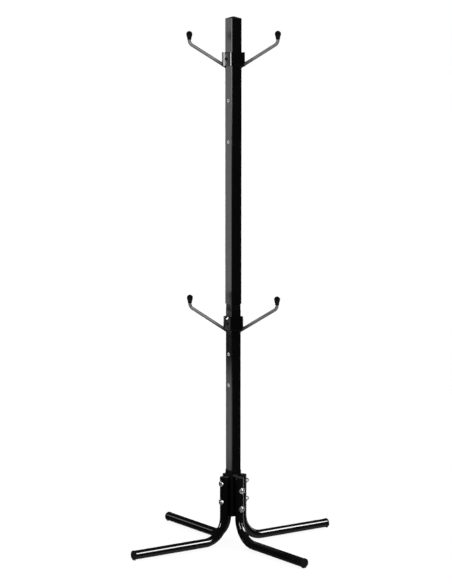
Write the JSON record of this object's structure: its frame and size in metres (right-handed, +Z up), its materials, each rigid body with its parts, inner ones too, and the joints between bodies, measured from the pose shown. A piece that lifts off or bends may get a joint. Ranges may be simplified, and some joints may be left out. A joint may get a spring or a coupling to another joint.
{
  "type": "four way clothing rack",
  "caption": "Free-standing clothing rack: square two-piece post on bent tube legs, with sliding collars that carry upturned arms with soft tips.",
  "frame": {"origin": "on the floor, on the post's axis", "axes": "+Z up the post; the legs point along +X, +Y, -X and -Y; -X is the side of the inserts and lock screws; the arms lie along the diagonal from -X+Y to +X-Y"},
  "size_m": [0.814, 0.814, 1.7945],
  "materials": {
    "leg_black": "gloss black powder coat",
    "post_black": "satin black powder coat",
    "arm_steel": "dull dark grey steel",
    "zinc_hardware": "bright zinc plate",
    "cap_plastic": "moulded matte black",
    "tip_rubber": "soft black vinyl",
    "screw_black": "black oxide"
  },
  "bodies": {
    "base": {"base_socket": "post_black", "leg_right": "leg_black", "foot_cap_right": "cap_plastic", "leg_plug_right": "cap_plastic", "leg_back": "leg_black", "foot_cap_back": "cap_plastic", "leg_plug_back": "cap_plastic", "leg_left": "leg_black", "foot_cap_left": "cap_plastic", "leg_plug_left": "cap_plastic", "leg_front": "leg_black", "foot_cap_front": "cap_plastic", "leg_plug_front": "cap_plastic", "leg_bolt_x_upper": "zinc_hardware", "dome_nut_x_upper": "zinc_hardware", "leg_bolt_x_lower": "zinc_hardware", "dome_nut_x_lower": "zinc_hardware", "leg_bolt_y_upper": "zinc_hardware", "dome_nut_y_upper": "zinc_hardware", "leg_bolt_y_lower": "zinc_hardware", "dome_nut_y_lower": "zinc_hardware", "saddle_washers": "zinc_hardware", "lower_post": "post_black", "lower_post_inserts": "zinc_hardware", "post_foot_plug": "cap_plastic"},
    "upper_post": {"upper_post": "post_black", "upper_post_inserts": "zinc_hardware", "post_stop": "post_black", "top_cap": "cap_plastic"},
    "upper_collar": {"upper_collar_sleeve": "post_black", "upper_collar_liner": "cap_plastic", "upper_angle_screw": "zinc_hardware", "upper_arm_left": "arm_steel", "upper_arm_right": "arm_steel", "upper_arm_tip_left": "tip_rubber", "upper_arm_tip_right": "tip_rubber"},
    "upper_lock_screw": {"upper_lock_screw": "screw_black"},
    "lower_collar": {"lower_collar_sleeve": "post_black", "lower_collar_liner": "cap_plastic", "lower_angle_screw": "zinc_hardware", "lower_arm_left": "arm_steel", "lower_arm_right": "arm_steel", "lower_arm_tip_left": "tip_rubber", "lower_arm_tip_right": "tip_rubber"},
    "lower_lock_screw": {"lower_lock_screw": "screw_black"}
  },
  "joints": [
    {"name": "upper_post_lift", "type": "slide", "parent": "base", "child": "upper_post", "axis": [0, 0, 1], "range_m": [0, 0.075]},
    {"name": "upper_collar_slide", "type": "slide", "parent": "upper_post", "child": "upper_collar", "axis": [0, 0, 1], "range_m": [-0.276, 0]},
    {"name": "lower_collar_slide", "type": "slide", "parent": "base", "child": "lower_collar", "axis": [0, 0, 1], "range_m": [-0.212, 0]},
    {"name": "upper_lock_screw_out", "type": "slide", "parent": "upper_collar", "child": "upper_lock_screw", "axis": [-1, 0, 0], "range_m": [0, 0.005]},
    {"name": "lower_lock_screw_out", "type": "slide", "parent": "lower_collar", "child": "lower_lock_screw", "axis": [-1, 0, 0], "range_m": [0, 0.005]}
  ]
}
